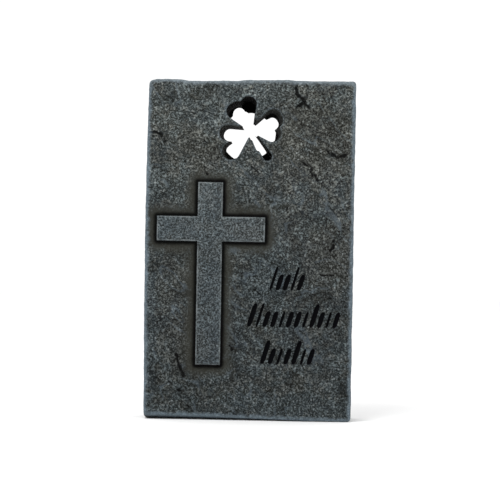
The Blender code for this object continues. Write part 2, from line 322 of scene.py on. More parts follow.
def stroke_places():
    """Foot, height and width of every stroke."""
    for row, (length_share, middle_share, tall) in enumerate(ROWS):
        length = FIELD_WIDTH * length_share
        count = max(2, round(length / STROKE_PITCH))
        start = FIELD_LEFT + FIELD_WIDTH * middle_share - length / 2
        foot_z = CROSS_FOOT + ROW_LIFT + ROW_STEP * row
        for step in range(count):
            width = STROKE_WIDTH * (THIN_SHARE if (step + row) % 3 == 2 else 1.0)
            height = STROKE_TALL if step in tall else STROKE_SHORT
            run = length - STROKE_WIDTH - STROKE_SHORT * math.tan(STROKE_SLANT)
            yield start + STROKE_WIDTH / 2 + run * step / (count - 1), foot_z, height, width


def stroke_loop(place, inset):
    """The outline of one stroke: a slanted bar with the rounded ends of a broad brush."""
    foot_x, foot_z, height, width = place
    half = width / 2 - inset
    turns = np.linspace(0, math.tau, 28, endpoint=False)
    across = np.sign(np.cos(turns)) * np.abs(np.cos(turns)) ** 0.75 * half
    along = 0.5 + np.sign(np.sin(turns)) * np.abs(np.sin(turns)) ** 0.55 * (0.5 - inset / height)
    slant = height * along * math.tan(STROKE_SLANT)
    return np.stack((foot_x + across + slant, foot_z + height * along), axis=1)


def round_reach(turn, distance, radius):
    """How far the hull of the hub and one round reaches from the hub, at a turn off the round's own way."""
    side = math.acos((HUB_RADIUS - radius) / distance)
    touch = math.atan2(radius * math.sin(side), distance + radius * math.cos(side))
    off = abs(math.remainder(turn, math.tau))
    if off <= touch:
        return distance * math.cos(off) + math.sqrt(radius**2 - (distance * math.sin(off)) ** 2)
    return HUB_RADIUS / math.cos(side - off) if off < side else HUB_RADIUS


def hole_reach(turn, y):
    """How far the shamrock's wall stands from its hub at a turn and a depth."""
    draft = HOLE_DRAFT / 2 * (y - FRONT_Y) / SLAB_DEPTH
    at_flash = smooth_share((y - BACK_Y) / FLASH_DEPTH + 1)
    reach = 0.0
    for degrees, distance, radius, still_open in SHAMROCK_ROUNDS:
        reach_out, round_radius = SHAMROCK_SIZE * distance - draft, SHAMROCK_SIZE * radius - draft
        wall = round_reach(turn - math.radians(degrees), reach_out, round_radius)
        closed = max(0.0, wall - SHAMROCK_SIZE * still_open)
        reach = max(reach, wall - closed * at_flash)
    ahead = Vector((math.cos(turn), 0.0, math.sin(turn)))
    ragged = FLASH * (1 + noise.noise(ahead * reach / FLASH_LENGTH)) * at_flash
    return max(HUB_RADIUS, reach - ragged)


def hole_shade_speed_at(turns):
    """How fast the painted shade on the shamrock's wall sets in at each turn."""
    fast = np.zeros(len(turns))
    for degrees, wide in SHADED_HOLE_TURNS:
        off = np.abs(np.degrees(turns) - degrees)
        fast = np.maximum(fast, 1 - smooth_share(off / wide - 0.5))
    return HOLE_SHADE_LEAST + (1 - HOLE_SHADE_LEAST) * fast


def hole_turns():
    """Turns about the hub, placed so that the wall's points stand evenly apart."""
    fine = np.linspace(0, math.tau, FINE_TURNS, endpoint=False)
    reach = np.array([hole_reach(turn, FRONT_Y) for turn in fine])
    points = np.stack((np.cos(fine) * reach, np.sin(fine) * reach), axis=1)
    steps = np.hypot(*(np.roll(points, -1, axis=0) - points).T)
    walked = np.concatenate(((0.0,), np.cumsum(steps)))
    wanted = np.linspace(0, walked[-1], HOLE_STEPS, endpoint=False)
    return np.interp(wanted, walked, np.append(fine, math.tau))


def hole_loop(turns, y):
    """The shamrock's outline at a depth, as (n, 2) points."""
    reach = np.array([hole_reach(turn, y) for turn in turns])
    return np.stack((SHAMROCK_X + np.cos(turns) * reach, SHAMROCK_Z + np.sin(turns) * reach), axis=1)


def rounded_loop(inset):
    """The slab's outline drawn in by an inset, with its corners rounded, and the way out at each point."""
    radius = CORNER_RADIUS
    points, outward = [], []
    wide, high = SLAB_WIDTH / 2 - radius, SLAB_HEIGHT / 2 - radius
    corners = ((wide, high), (-wide, high), (-wide, -high), (wide, -high))
    for quarter, (x, z) in enumerate(corners):
        arc = np.linspace(0, math.pi / 2, 5) + quarter * math.pi / 2
        for turn in arc:
            points.append((x + radius * math.cos(turn), SLAB_HEIGHT / 2 + z + radius * math.sin(turn)))
            outward.append((math.cos(turn), math.sin(turn)))
        next_x, next_z = corners[(quarter + 1) % 4]
        way = (math.cos(arc[-1]), math.sin(arc[-1]))
        count = round(math.hypot(next_x - x, next_z - z) / RIM_STEP)
        for step in range(1, count):
            share = step / count
            points.append((
                x + (next_x - x) * share + radius * way[0],
                SLAB_HEIGHT / 2 + z + (next_z - z) * share + radius * way[1],
            ))
            outward.append(way)
    points, outward = np.array(points), np.array(outward)
    return points - outward * inset, outward


def spread_loop(loop, step):
    """A closed loop with points a step or so apart along each of its sides."""
    points = []
    for start, end in zip(loop, np.roll(loop, -1, axis=0)):
        count = max(1, round(np.hypot(*(end - start)) / step))
        points.extend(start + (end - start) * share for share in np.arange(count) / count)
    return np.array(points)


def triangulate(loops, spots):
    """Triangles over closed loops and loose spots: points, triangles and each loop's point numbers."""
    points = np.concatenate(loops + [spots])
    edges, starts, first = [], [], 0
    for loop in loops:
        numbers = np.arange(first, first + len(loop))
        starts.append(numbers)
        edges.extend(zip(numbers.tolist(), np.roll(numbers, -1).tolist()))
        first += len(loop)
    flat = [Vector(point) for point in (points * MM).tolist()]
    made, _, faces, origins, _, _ = geometry.delaunay_2d_cdt(flat, edges, [], 0, 1e-5, True)
    place = np.zeros(len(points), int)
    for number, sources in enumerate(origins):
        place[sources] = number
    made = np.array([tuple(point) for point in made]) / MM
    return made, np.array([tuple(face) for face in faces]), [place[numbers] for numbers in starts]


def scattered_spots(step, rng):
    """Points of a slightly shaken triangular grid over the slab."""
    rows = np.arange(0, SLAB_HEIGHT, step * math.sqrt(0.75))
    columns = np.arange(-SLAB_WIDTH / 2, SLAB_WIDTH / 2, step)
    x, z = np.meshgrid(columns, rows)
    x = x + (np.arange(len(rows)) % 2)[:, None] * step / 2
    spots = np.stack((x.ravel(), z.ravel()), axis=1)
    return spots + rng.uniform(-0.16, 0.16, spots.shape) * step


def between(made, faces, outline, opening):
    """The triangles whose middles lie inside the outline and outside the opening."""
    middles = made[faces].mean(axis=1)
    inside = loop_distance(middles, outline, MIDDLE_REACH) < 0
    return faces[inside & (loop_distance(middles, opening, MIDDLE_REACH) > 0)]


def nearest(points, loops, reach):
    """Signed distance of points to the nearest of several loops."""
    result = np.full(len(points), reach)
    for loop in loops:
        result = np.minimum(result, loop_distance(points, loop, reach))
    return result


def air_holes(rng, rim, opening):
    """Middles and radii of the air holes of the poured back, clear of its edges."""
    middles = rng.uniform((-SLAB_WIDTH / 2, 0.0), (SLAB_WIDTH / 2, SLAB_HEIGHT), (AIR_HOLES, 2))
    radii = AIR_HOLE_RADIUS * rng.uniform(0.25, 1.0, AIR_HOLES) ** 1.6
    clear = loop_distance(middles, rim, RIM_REACH) < -AIR_HOLE_FROM_RIM
    clear &= loop_distance(middles, opening, RIM_REACH) > AIR_HOLE_FROM_OPENING
    return middles[clear], np.maximum(radii[clear], AIR_HOLE_RADIUS * 0.3)


def air_hole_spots(spots, middles, radii):
    """The loose spots of the back with those in the air holes traded for rings about the middles."""
    turns = np.linspace(0, math.tau, 9, endpoint=False)
    circle = np.stack((np.cos(turns), np.sin(turns)), axis=1)
    for middle, radius in zip(middles, radii):
        spots = spots[np.hypot(*(spots - middle).T) > 1.5 * radius]
    rings = [
        middle + circle * radius * share
        for middle, radius in zip(middles, radii) for share in (0.6, 1.0)
    ]
    return np.concatenate([spots, middles] + rings)


def air_hole_depth(points, middles, radii):
    """How deep the air holes are at points of the back."""
    depth = np.zeros(len(points))
    for middle, radius in zip(middles, radii):
        away = np.hypot(*(points - middle).T) / radius
        depth = np.maximum(depth, 0.8 * radius * np.sqrt(np.clip(1 - away**2, 0.0, 1.0)))
    return depth


def crack_relief(points):
    """How deep the cracks are at points of the face, the step beside them, and how dark they are toned."""
    depth, step, toned = np.zeros(len(points)), np.zeros(len(points)), np.zeros(len(points))
    upright = np.insert(points, 1, 0.0, axis=1)
    wander = noise_at(upright, 0.0030, 31.0) * 0.0007 + noise_at(upright, 0.0012, 37.0) * 0.0003
    uneven = np.clip(0.85 + 0.9 * noise_at(upright, 0.0026, 43.0), 0.30, 1.3)
    for line, deep, wide in CRACKS:
        line = np.array(line) / MM
        low, high = line.min(axis=0) - CRACK_REACH, line.max(axis=0) + CRACK_REACH
        near = np.all((points > low) & (points < high), axis=1)
        close = points[near] + wander[near, None]
        away = np.full(len(close), 1.0)
        side = np.zeros(len(close))
        for start, end in zip(line, line[1:]):
            distance = segment_distance(close, start, end)
            run = (end - start) / np.hypot(*(end - start))
            across = (close - start) @ np.array((-run[1], run[0]))
            side = np.where(distance < away, across, side)
            away = np.minimum(away, distance)
        groove = np.exp(-((away * MM / (wide / 2)) ** 2)) * uneven[near]
        shade = np.exp(-((away * MM / wide) ** 2)) * uneven[near] * min(1.0, deep / 0.55)
        ledge = np.clip(side * MM / wide, -1, 1) * np.exp(-((away * MM / 2.6) ** 2))
        depth[near] = np.maximum(depth[near], deep * groove / MM)
        step[near] += 0.30 * deep * ledge / MM
        toned[near] = np.maximum(toned[near], shade)
    return depth, step, toned


def face_tint(points):
    """How warm the toning is at points of the face."""
    total = np.zeros(len(points))
    for across, up, wide, high, warm in TINTS:
        away = np.hypot((points[:, 0] * MM - across) / wide, (points[:, 1] * MM - up) / high)
        total += warm * (1 - smooth_share(away - 0.4))
    return np.clip(total, -1.2, 1.2)


def ground_relief(points, sizes):
    """Height of the ground over its plane, and the toning of its ledges: 1 on lips, -1 at their feet."""
    flat = np.insert(points / SWELL_LENGTH, 2, 0.0, axis=1)
    swell = SWELL * noise_at(flat, 1.0)
    turned = points @ np.array(Matrix.Rotation(-FLAKE_TURN, 2)).T / FLAKE_LENGTH
    grain = np.stack((turned[:, 0] / FLAKE_STRETCH, turned[:, 1], np.full(len(points), 5.0)), axis=1)
    flake = FLAKE * noise_at(grain, 1.0)
    warp = fractal_at(grain, 0.45, 3, 11.0)
    level = 2.3 * noise_at(grain, 1.25, 3.0) + 0.35 * warp
    share = level - np.floor(level)
    terrace = np.floor(level) + smooth_share((share - 0.42) / 0.16)
    patchy = np.clip(0.4 + 1.6 * noise_at(grain, 0.8, 19.0), 0.0, 1.0)
    ledges = patchy * (np.exp(-(((share - 0.62) / 0.07) ** 2)) - np.exp(-(((share - 0.40) / 0.06) ** 2)))
    return swell + flake + sizes.terrace * terrace, ledges


def face_heights(points, sizes, opening):
    """Heights of points of the face, distances to the cross and the strokes, toning of cracks and ledges."""
    upright = np.insert(points, 1, 0.0, axis=1)
    cross = loop_distance(points, cross_loop(0.0), CROSS_REACH)
    strokes = nearest(points, [stroke_loop(place, 0.0) for place in stroke_places()], STROKE_REACH)
    rim = loop_distance(points, opening, RIM_REACH)
    crack, ledge, toned = crack_relief(points)
    grit = fractal_at(upright, GRIT_LENGTH, 3, 2.0)
    pits = np.clip(noise_at(upright, PIT_LENGTH, 9.0) - 0.38, 0, 1)
    pits *= np.clip(noise_at(upright, 0.0016, 4.0) + 0.4, 0, 1)
    from_cross = smooth_share(cross / DISH_WIDTH)
    calm = 0.35 + 0.65 * smooth_share((cross - 0.001) / 0.006)
    ground, ledges = ground_relief(points, sizes)
    ground += (ledge - crack) * calm - DISH_DEPTH * (1 - from_cross)
    ground += sizes.grit * grit * calm - sizes.pits * pits * calm
    worn = cross + 0.00008 * noise_at(upright, 0.004, 17.0)
    climb = np.interp(-worn, *np.array(CROSS_CLIMB).T)
    top = CROSS_RELIEF - 0.00010 + 0.6 * sizes.grit * (grit - 0.4) - 0.4 * sizes.pits * pits
    height = ground + (np.minimum(top, CROSS_RELIEF) - ground) * climb
    height -= STROKE_DEPTH * smooth_share(-strokes / STROKE_WALL)
    height -= RIM_WEAR * (1 - smooth_share(rim / RIM_WEAR_WIDTH)) ** 2
    return height, cross, strokes, toned, ledges * (cross > 0)


def weather(points):
    """Takes points of the plain block to the worn and uneven slab, as its solid does."""
    x, y, z = points.T
    across, up = 2 * x / SLAB_WIDTH, z / SLAB_HEIGHT
    # High powers keep what the sides, the top and the foot lose close to them
    loss = SIDE_DRAFT * (BACK_Y - y) / SLAB_DEPTH + LUMP * (1 + noise_at(points, LUMP_LENGTH)) / 2
    bulge = np.where(x < 0, LEFT_BULGE * (2 * up - 1) ** 2, 0.0)
    inward = across**6 * (loss + bulge)
    places, drops = np.array(TOP_EDGE).T
    fine = np.linspace(-1, 1, 401)
    starts = np.clip(np.searchsorted(places, fine, side="right") - 1, 0, len(places) - 2)
    share = smooth_share((fine - places[starts]) / (places[starts + 1] - places[starts]))
    edge = np.interp(across, fine, drops[starts] + (drops[starts + 1] - drops[starts]) * share)
    drop = up**12 * (loss + TOP_DIP * edge)
    to_back = smooth_share((y - FRONT_Y) / FOOT_WEAR_DEPTH)
    lift = (1 - up) ** 12 * (1 - to_back) * FOOT_WEAR * smooth_share((1 - across) / 2)
    return np.stack((x - np.sign(x) * inward, y, z - drop + lift), axis=1)


class Shell:
    """Gathers the points of the casting, their normals, heights and masks, and the faces between them."""

    def __init__(self):
        self.points, self.normals, self.proud = [], [], []
        self.masks = {name: [] for name in PLAIN_MASKS}
        self.triangles, self.quads = [], []
        self.count = 0

    def add(self, points, normals, proud=0.0, **told):
        """Adds points with what the masks tell of them, and gives back their numbers."""
        self.points.append(points)
        self.normals.append(np.broadcast_to(normals, points.shape))
        self.proud.append(np.broadcast_to(proud, len(points)))
        for name, value in {**PLAIN_MASKS, **told}.items():
            self.masks[name].append(np.broadcast_to(value, len(points)))
        self.count += len(points)
        return np.arange(self.count - len(points), self.count)

    def join(self, upper, lower):
        """Joins two rings of point numbers with quads."""
        self.quads.append(np.stack((upper, np.roll(upper, -1), np.roll(lower, -1), lower), axis=1))


def clear_spots(spots, rim, opening, from_rim, from_opening):
    """The loose spots inside the rim and outside the opening that keep their distance from both."""
    inside = loop_distance(spots, rim, SPOT_REACH) < -from_rim
    return spots[inside & (loop_distance(spots, opening, SPOT_REACH) > from_opening)]


def add_face(shell, opening, sizes, rng):
    """Adds the front face; gives back the point numbers of its rim and opening, and all its heights."""
    rim = rounded_loop(FACE_ROUND)[0]
    cross_loops = [cross_loop(inset) for inset in CROSS_INSETS]
    stroke_loops = [stroke_loop(place, inset) for place in stroke_places() for inset in (0.0, STROKE_WALL)]
    spots = clear_spots(scattered_spots(FACE_STEP, rng), rim, opening, EDGE_CLEARANCE, EDGE_CLEARANCE)
    for loop in cross_loops + stroke_loops:
        spots = spots[abs(loop_distance(spots, loop, SPOT_REACH)) > LINE_CLEARANCE]
    loops = [rim, opening] + [spread_loop(loop, CROSS_STEP) for loop in cross_loops] + stroke_loops
    made, faces, rings = triangulate(loops, spots)
    shell.triangles.append(between(made, faces, rim, opening))
    height, cross, strokes, crack, ledges = face_heights(made, sizes, opening)
    shell.add(
        np.insert(made, 1, FRONT_Y, axis=1), (0.0, -1.0, 0.0), height,
        cross_gap=cross, stroke_gap=strokes, crack=crack, tint=face_tint(made), ledges=ledges,
        edge_gap=np.abs(loop_distance(made, rim, EDGE_REACH)) + FACE_ROUND,
        rim_gap=loop_distance(made, opening, RIM_REACH),
    )
    return rings[0], rings[1], height


def edge_profile():
    """Inset, depth and turn of each ring round the front edge, along the side and round the back edge."""
    front = [
        (FACE_ROUND * (1 - math.sin(turn)), FACE_ROUND * (1 - math.cos(turn)), turn)
        for turn in np.radians((22.5, 45, 67.5, 90))
    ]
    rows = round((SLAB_DEPTH - FACE_ROUND - BACK_ROUND) / SIDE_STEP)
    depths = np.linspace(FACE_ROUND, SLAB_DEPTH - BACK_ROUND, rows + 1)[1:]
    side = [(0.0, depth, math.pi / 2) for depth in depths]
    half = math.pi / 4
    back_depth = SLAB_DEPTH - BACK_ROUND * (1 - math.sin(half))
    return front + side + [(BACK_ROUND * (1 - math.cos(half)), back_depth, math.pi / 2 + half)]


def add_sides(shell, ring, edge_height):
    """Adds the rounds of the front and back edge and the sides between; gives back the last ring."""
    outline, outward = rounded_loop(0.0)
    for inset, depth, turn in edge_profile():
        at = np.insert(outline - outward * inset, 1, FRONT_Y + depth, axis=1)
        normals = np.insert(outward * math.sin(turn), 1, -math.cos(turn), axis=1)
        stand = edge_height * max(0.0, math.cos(turn)) ** 2
        new = shell.add(at, normals, stand, edge_gap=inset if depth <= FACE_ROUND else depth - FACE_ROUND)
        shell.join(ring, new)
        ring = new
    return ring


def add_hole_wall(shell, ring, rim_height, turns):
    """Adds the shamrock's wall, down to the flash; gives back the last ring."""
    inward = np.stack((-np.cos(turns), np.zeros(len(turns)), -np.sin(turns)), axis=1)
    hole_shade_speed = hole_shade_speed_at(turns)
    for depth in HOLE_DEPTHS:
        at = np.insert(hole_loop(turns, FRONT_Y + depth), 1, FRONT_Y + depth, axis=1)
        at[:, 1] -= rim_height * max(0.0, 1 - depth / LIP_BLEND)
        share = depth / SLAB_DEPTH
        # Painted shade on the wall grows with depth, faster at the shaded turns
        new = shell.add(at, inward, hole_depth=share, rim_gap=depth, soot=share * hole_shade_speed)
        shell.join(new, ring)
        ring = new
    return ring


def add_back(shell, side_ring, hole_ring, turns, rng):
    """Adds the plain back with its air holes, and so closes the shell."""
    rim, opening = rounded_loop(BACK_ROUND)[0], hole_loop(turns, BACK_Y)
    spots = scattered_spots(BACK_STEP, rng)
    spots = clear_spots(spots, rim, opening, BACK_EDGE_CLEARANCE, BACK_OPENING_CLEARANCE)
    middles, radii = air_holes(rng, rim, opening)
    made, faces, rings = triangulate([rim, opening], air_hole_spots(spots, middles, radii))
    hollow = air_hole_depth(made, middles, radii)
    numbers = shell.add(
        np.stack((made[:, 0], BACK_Y - hollow, made[:, 1]), axis=1), (0.0, 1.0, 0.0),
        crack=np.clip(hollow * MM, 0.0, 0.75), rim_gap=loop_distance(made, opening, RIM_REACH),
        edge_gap=np.abs(loop_distance(made, rim, EDGE_REACH)) + BACK_EDGE_GAP,
    )
    shell.join(side_ring, numbers[rings[0]])
    shell.join(numbers[rings[1]], hole_ring)
    shell.triangles.append(numbers[between(made, faces, rim, opening)[:, ::-1]])


def worn_in(points, normals, masks, sizes):
    """How far each point is worn in: ragged along the edges, pitted on the back."""
    ragged = 0.55 * noise_at(points, CHIP_LENGTH, 21.0) + 0.35 * fractal_at(points, CHIP_GRAIN, 2, 23.0)
    worn = sizes.chips * np.maximum(0.4 + ragged, 0.0)
    on_face, on_back = normals[:, 1] < -0.99, normals[:, 1] > 0.99
    near_edge = np.clip(1 - np.abs(normals[:, 1]), 0, 1)
    near_edge = np.where(on_face, 1 - smooth_share(masks["edge_gap"] / EDGE_WEAR_WIDTH), near_edge)
    near_edge = np.where(on_back, 0.0, near_edge)
    near_edge = np.where(masks["hole_depth"] > 0, 0.5 * smooth_share(masks["hole_depth"] / 0.1), near_edge)
    pitted = BACK_PIT * np.clip(noise_at(points, 0.005, 40.0) - 0.15, 0, 1) * on_back
    return worn * near_edge + pitted


def make_casting(sizes):
    """The whole casting as one closed mesh: its points, triangles, quads and masks."""
    rng = np.random.default_rng(SEED)
    turns = hole_turns()
    shell = Shell()
    rim, opening, height = add_face(shell, hole_loop(turns, FRONT_Y), sizes, rng)
    side_ring = add_sides(shell, rim, height[rim])
    hole_ring = add_hole_wall(shell, opening, height[opening], turns)
    add_back(shell, side_ring, hole_ring, turns, rng)
    plain, normals, proud = (np.concatenate(parts) for parts in (shell.points, shell.normals, shell.proud))
    masks = {name: np.concatenate(parts) for name, parts in shell.masks.items()}
    points = weather(plain) + normals * proud[:, None]
    points -= normals * worn_in(plain, normals, masks, sizes)[:, None]
    low, high = np.array(CAD_BOX[0]), np.array(CAD_BOX[1])
    return np.clip(points, low + 1e-6, high - 1e-6), shell.triangles, shell.quads, masks


def put_mesh(name, points, triangles, quads, masks):
    """Makes the mesh object of the casting; its masks become point attributes, with gaps in millimetres."""
    faces = [face for part in triangles + quads for face in part.tolist()]
    mesh = bpy.data.meshes.new(name)
    mesh.from_pydata(points.tolist(), [], faces)
    for mask, values in masks.items():
        told = mesh.attributes.new(mask, "FLOAT", "POINT")
        told.data.foreach_set("value", (values * MM if mask.endswith("gap") else values).astype(np.float32))
    bm = bmesh.new()
    bm.from_mesh(mesh)
    loose = [vert for vert in bm.verts if not vert.link_faces]
    bmesh.ops.delete(bm, geom=loose, context="VERTS")
    bmesh.ops.triangulate(bm, faces=bm.faces)
    bmesh.ops.recalc_face_normals(bm, faces=bm.faces)
    bm.to_mesh(mesh)
    bm.free()
    mesh.shade_smooth()
    casting = bpy.data.objects.new(name, mesh)
    bpy.context.scene.collection.objects.link(casting)
    return casting


class NodeBench:
    """Places nodes of one tree and joins them up."""

    def __init__(self, tree):
        self.tree = tree
        self.column = 0

    def add(self, kind, settings=None, **inputs):
        node = self.tree.nodes.new(kind)
        self.column += 1
        node.location = (180 * (self.column % 12), -260 * (self.column // 12))
        for name, value in (settings or {}).items():
            setattr(node, name, value)
        for name, value in inputs.items():
            self.feed(node.inputs[name.replace("_", " ")], value)
        return node

    def feed(self, socket, value):
        if isinstance(value, bpy.types.NodeSocket):
            self.tree.links.new(value, socket)
        else:
            socket.default_value = value

    def math(self, operation, first, second=0.0):
        node = self.add("ShaderNodeMath", {"operation": operation})
        self.feed(node.inputs[0], first)
        self.feed(node.inputs[1], second)
        return node.outputs[0]

    def times(self, first, second):
        return self.math("MULTIPLY", first, second)

    def ramp(self, value, start, end, low=0.0, high=1.0):
        """Goes softly from low at start to high at end."""
        node = self.add("ShaderNodeMapRange", {"interpolation_type": "SMOOTHSTEP"})
        given = {"Value": value, "From Min": start, "From Max": end, "To Min": low, "To Max": high}
        for name, part in given.items():
            self.feed(node.inputs[name], part)
        return node.outputs["Result"]

    def mix(self, share, first, second, blend="MIX"):
        node = self.add("ShaderNodeMix", {"data_type": "RGBA", "blend_type": blend, "clamp_factor": True})
        self.feed(node.inputs[0], share)
        self.feed(node.inputs[6], first)
        self.feed(node.inputs[7], second)
        return node.outputs[2]

    def noise(self, vector, scale, detail=2.0, roughness=0.5):
        node = self.add("ShaderNodeTexNoise", Vector=vector, Scale=scale, Detail=detail, Roughness=roughness)
        return node.outputs["Fac"]

    def group(self, tree, **inputs):
        return self.add("ShaderNodeGroup", {"node_tree": tree}, **inputs).outputs[0]


def new_group(name, inputs, output):
    """An empty node group with named sockets, its bench and its two ends."""
    tree = bpy.data.node_groups.new(name, "ShaderNodeTree")
    for socket, kind, default in inputs:
        made = tree.interface.new_socket(socket, in_out="INPUT", socket_type=kind)
        if default is not None:
            made.default_value = default
    tree.interface.new_socket(output, in_out="OUTPUT", socket_type="NodeSocketFloat")
    bench = NodeBench(tree)
    start = tree.nodes.new("NodeGroupInput")
    end = tree.nodes.new("NodeGroupOutput")
    start.location, end.location = (-300, 0), (2400, 0)
    return tree, bench, start.outputs, end.inputs


def speckle_group():
    """Grains of one size that show through: a mask from noise, cut off at a level."""
    tree, bench, given, told = new_group(
        "speckle",
        (("Vector", "NodeSocketVector", None), ("Scale", "NodeSocketFloat", 1000.0),
         ("Level", "NodeSocketFloat", 0.5), ("Softness", "NodeSocketFloat", 0.08)),
        "Mask",
    )
    grains = bench.noise(given["Vector"], given["Scale"], 1.5, 0.6)
    low = bench.math("SUBTRACT", given["Level"], given["Softness"])
    high = bench.math("ADD", given["Level"], given["Softness"])
    bench.feed(told["Mask"], bench.ramp(grains, low, high))
    return tree


def ragged_band_group():
    """A band along an outline, from its distance: full up to Full, gone at Gone, with an uneven border."""
    tree, bench, given, told = new_group(
        "ragged_band",
        (("Vector", "NodeSocketVector", None), ("Gap", "NodeSocketFloat", 0.0),
         ("Full", "NodeSocketFloat", 0.5), ("Gone", "NodeSocketFloat", 2.0),
         ("Raggedness", "NodeSocketFloat", 0.5), ("Scale", "NodeSocketFloat", 300.0)),
        "Mask",
    )
    uneven = bench.math("SUBTRACT", bench.noise(given["Vector"], given["Scale"], 3.0, 0.6), 0.5)
    moved = bench.math("ADD", given["Gap"], bench.times(uneven, given["Raggedness"]))
    bench.feed(told["Mask"], bench.ramp(moved, given["Gone"], given["Full"]))
    return tree


def stone_finish(colours):
    """Toned cast stone: dark ground, pale grains, wash in the hollows, dry-brushed edges, black strokes;
    painted shade towards the foot and inside the shamrock, painted light on the cross's top and a painted
    highlight on the top edge.
    """
    material = bpy.data.materials.new("cast_stone_weathered")
    material.use_nodes = True
    tree = material.node_tree
    tree.nodes.clear()
    bench = NodeBench(tree)
    place = bench.add("ShaderNodeTexCoord").outputs["Object"]
    speckle, band = speckle_group(), ragged_band_group()

    def mask(name):
        reader = bench.add("ShaderNodeAttribute", {"attribute_type": "GEOMETRY", "attribute_name": name})
        return reader.outputs["Fac"]

    def band_along(gap, **settings):
        """Full, Gone and Raggedness are in millimetres."""
        return bench.group(band, Vector=place, Gap=gap, **settings)

    def cloud(scale, detail=2.0, roughness=0.5):
        return bench.noise(place, scale, detail, roughness)

    def lay(share, over, under):
        """One colour over another, as thick as the share."""
        return bench.mix(share, under, over[:])

    cross_gap, stroke_gap, crack = mask("cross_gap"), mask("stroke_gap"), mask("crack")
    edge_gap, rim_gap, hole_depth = mask("edge_gap"), mask("rim_gap"), mask("hole_depth")
    tint, ledges, soot = mask("tint"), mask("ledges"), mask("soot")
    on_cross = bench.ramp(cross_gap, 0.0, -0.15)
    off_cross = bench.math("SUBTRACT", 1.0, on_cross)
    toned_warm = bench.times(tint, 0.2)

    # Ground: brown-grey and blue-grey clouds, mottled darker
    warmth = bench.ramp(bench.math("ADD", cloud(60.0, 4.0, 0.6), toned_warm), 0.36, 0.68)
    ground = bench.mix(warmth, colours.ground_cool[:], colours.ground_warm[:])
    ground = lay(bench.ramp(cloud(520.0, 3.0, 0.65), 0.42, 0.60, 0.0, 0.8), colours.wash, ground)

    # Pale grains of three sizes, fewer where the wash has settled
    fine = bench.group(speckle, Vector=place, Scale=1500.0, Level=0.56, Softness=0.07)
    coarse = bench.group(speckle, Vector=place, Scale=880.0, Level=0.58, Softness=0.08)
    chips = bench.add("ShaderNodeTexVoronoi", Vector=place, Scale=430.0).outputs["Distance"]
    chips = bench.times(bench.ramp(chips, 0.30, 0.14), bench.ramp(coarse, 0.0, 0.6, 0.35, 1.0))
    grains = bench.math("MAXIMUM", bench.times(fine, 0.6), coarse)
    near_cross = band_along(cross_gap, Full=0.0, Gone=9.0, Raggedness=7.0, Scale=190.0)
    near_cross = bench.times(near_cross, off_cross)
    by_cross = band_along(cross_gap, Full=1.5, Gone=12.0, Raggedness=8.0, Scale=110.0)
    by_cross = bench.times(by_cross, off_cross)
    patches = bench.times(on_cross, bench.ramp(cloud(75.0, 3.0), 0.48, 0.62, 0.0, 0.6))
    calm = bench.math("MAXIMUM", bench.times(near_cross, 0.62), patches)
    shown = bench.times(grains, bench.math("SUBTRACT", 1.0, calm))
    grain_warmth = bench.ramp(bench.math("ADD", cloud(170.0, 3.0, 0.6), toned_warm), 0.4, 0.6)
    grain_colour = bench.mix(grain_warmth, colours.grain_cool[:], colours.grain_warm[:])
    colour = bench.mix(shown, ground, grain_colour)
    sparse = bench.math("SUBTRACT", 1.0, bench.math("MAXIMUM", near_cross, bench.times(by_cross, 0.4)))
    colour = lay(bench.times(bench.times(chips, sparse), 0.8), colours.chip, colour)
    colour = lay(bench.ramp(ledges, 0.1, 1.0, 0.0, 0.45), colours.dry_brush, colour)
    colour = lay(bench.ramp(ledges, -0.1, -1.0, 0.0, 0.6), colours.wash, colour)

    # Painted shade: the face darker towards the foot, as light from above falls off; blots of uneven tone
    # beside the cross
    height = bench.add("ShaderNodeSeparateXYZ", Vector=place).outputs["Z"]
    painted_foot_shade = lay(bench.ramp(height, *PAINTED_FOOT_SHADE_HEIGHTS), colours.painted_foot_shade, (1.0, 1.0, 1.0, 1.0))
    blots = bench.ramp(cloud(95.0, 4.0, 0.6), 0.36, 0.64, 0.68, 1.12)
    colour = bench.mix(1.0, colour, painted_foot_shade, "MULTIPLY")
    colour = bench.mix(off_cross, colour, bench.mix(1.0, colour, blots, "MULTIPLY"))
    # Painted light: the cross lighter towards its top and darker down its stem, as light from above falls
    painted_cross_light = bench.ramp(height, *PAINTED_CROSS_LIGHT_HEIGHTS, 0.94, 1.18)
    colour = bench.mix(on_cross, colour, bench.mix(1.0, colour, painted_cross_light, "MULTIPLY"))

    # Brown wash around the cross, near black at its foot line and in the cracks
    washed = bench.math("ADD", bench.times(near_cross, 0.50), bench.times(by_cross, 0.2))
    colour = lay(washed, colours.brown_wash_and_shade, colour)
    shaded = band_along(cross_gap, Full=0.3, Gone=4.8, Raggedness=3.2, Scale=210.0)
    colour = lay(bench.times(bench.times(shaded, off_cross), 0.72), colours.wash, colour)
    crevice = band_along(cross_gap, Full=0.6, Gone=2.8, Raggedness=1.5)
    crevice = bench.times(crevice, bench.ramp(cross_gap, -0.25, 0.0))
    colour = lay(bench.times(crevice, 0.97), colours.crevice, colour)
    colour = lay(bench.ramp(crack, 0.15, 0.75, 0.0, 0.9), colours.crevice, colour)
